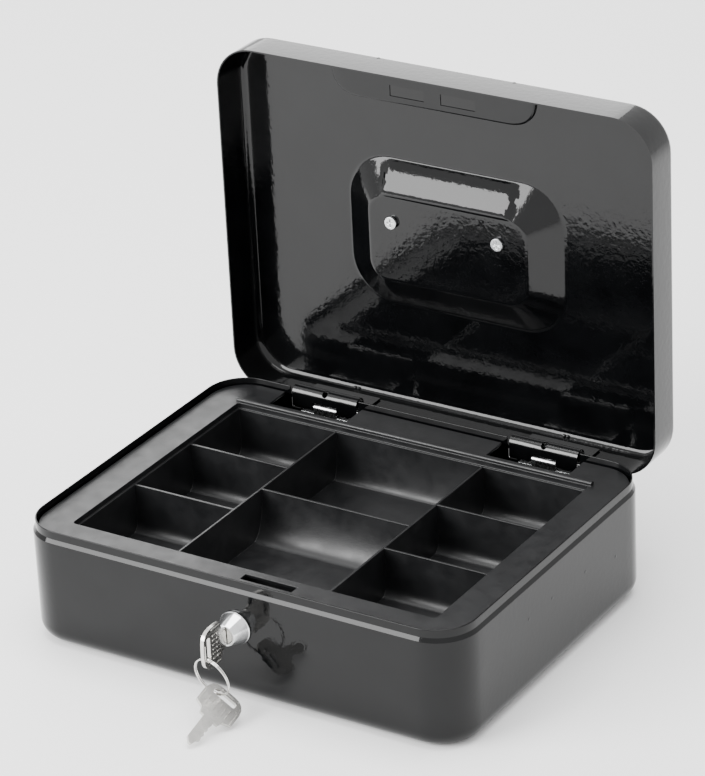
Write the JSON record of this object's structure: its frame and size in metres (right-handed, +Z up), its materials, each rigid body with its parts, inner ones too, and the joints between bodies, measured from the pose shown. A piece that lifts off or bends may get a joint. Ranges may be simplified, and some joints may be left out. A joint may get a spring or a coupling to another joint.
{
  "type": "cash box",
  "caption": "Lockable black pressed-steel cash box with hinged lid, lift-out coin tray, cam lock with keys on a ring, and a folding carry handle",
  "frame": {"origin": "centre of the flat underside of the base", "axes": "+X right along the front, +Y to the back, +Z up; rest pose has the lid open at a right angle"},
  "size_m": [0.25, 0.2857, 0.2456],
  "materials": {
    "base_paint": "gloss black enamel with faint orange peel",
    "lid_paint": "gloss black enamel with faint orange peel",
    "strike_paint": "gloss black enamel",
    "hinge_paint": "gloss black enamel",
    "hinge_zinc": "bright zinc plate",
    "tray_plastic": "fine-grained black moulding",
    "lock_chrome": "polished chrome plate",
    "plug_chrome": "satin chrome plate",
    "lock_zinc": "bright zinc plate",
    "key_nickel": "stamped and nickel plated",
    "ring_nickel": "nickel plated wire",
    "handle_zinc": "die-cast zinc",
    "screw_zinc": "bright zinc plate",
    "handle_chrome": "bright plated wire"
  },
  "bodies": {
    "base": {"base_shell": "base_paint", "tray_rail_left": "base_paint", "tray_rail_right": "base_paint", "hinge_leaf_left": "hinge_zinc", "hinge_leaf_right": "hinge_zinc", "hinge_pin_left": "hinge_zinc", "hinge_pin_right": "hinge_zinc", "lock_housing": "lock_chrome", "lock_nut": "lock_zinc"},
    "lid": {"lid_shell": "lid_paint", "strike_plate": "strike_paint", "hinge_strap_left": "hinge_paint", "hinge_strap_right": "hinge_paint", "handle_bracket_left": "handle_zinc", "handle_bracket_right": "handle_zinc", "handle_screw_left": "screw_zinc", "handle_screw_right": "screw_zinc"},
    "handle": {"carry_handle": "handle_chrome"},
    "tray": {"coin_tray": "tray_plastic"},
    "plug": {"lock_plug": "plug_chrome", "lock_cam": "lock_zinc", "cam_screw": "lock_zinc"},
    "key": {"key_inserted": "key_nickel"},
    "ring": {"key_ring": "ring_nickel"},
    "spare": {"key_spare": "key_nickel"}
  },
  "joints": [
    {"name": "lid_hinge", "type": "hinge", "parent": "base", "child": "lid", "pos_m": [0, 0.0954, 0.0542], "axis": [-1, 0, 0], "range_deg": [-90, 0]},
    {"name": "tray_lift", "type": "slide", "parent": "base", "child": "tray", "axis": [0, 0, 1], "range_m": [0, 0.08]},
    {"name": "handle_swing", "type": "hinge", "parent": "lid", "child": "handle", "pos_m": [0, 0.1201, 0.1601], "axis": [-1, 0, 0], "range_deg": [-100, 0]},
    {"name": "plug_turn", "type": "hinge", "parent": "base", "child": "plug", "pos_m": [0.003, -0.096, 0.039], "axis": [0, -1, 0], "range_deg": [0, 90]},
    {"name": "key_slide", "type": "slide", "parent": "plug", "child": "key", "axis": [0, -1, 0], "range_m": [0, 0.03]},
    {"name": "ring_swing", "type": "hinge", "parent": "key", "child": "ring", "pos_m": [0.003, -0.1205, 0.0335], "axis": [-0.9877, 0.1564, 0], "range_deg": [0, 25]},
    {"name": "spare_swing", "type": "hinge", "parent": "ring", "child": "spare", "pos_m": [0.0048, -0.1187, 0.0132], "axis": [-0.9877, 0.1564, 0], "range_deg": [0, 12]}
  ]
}
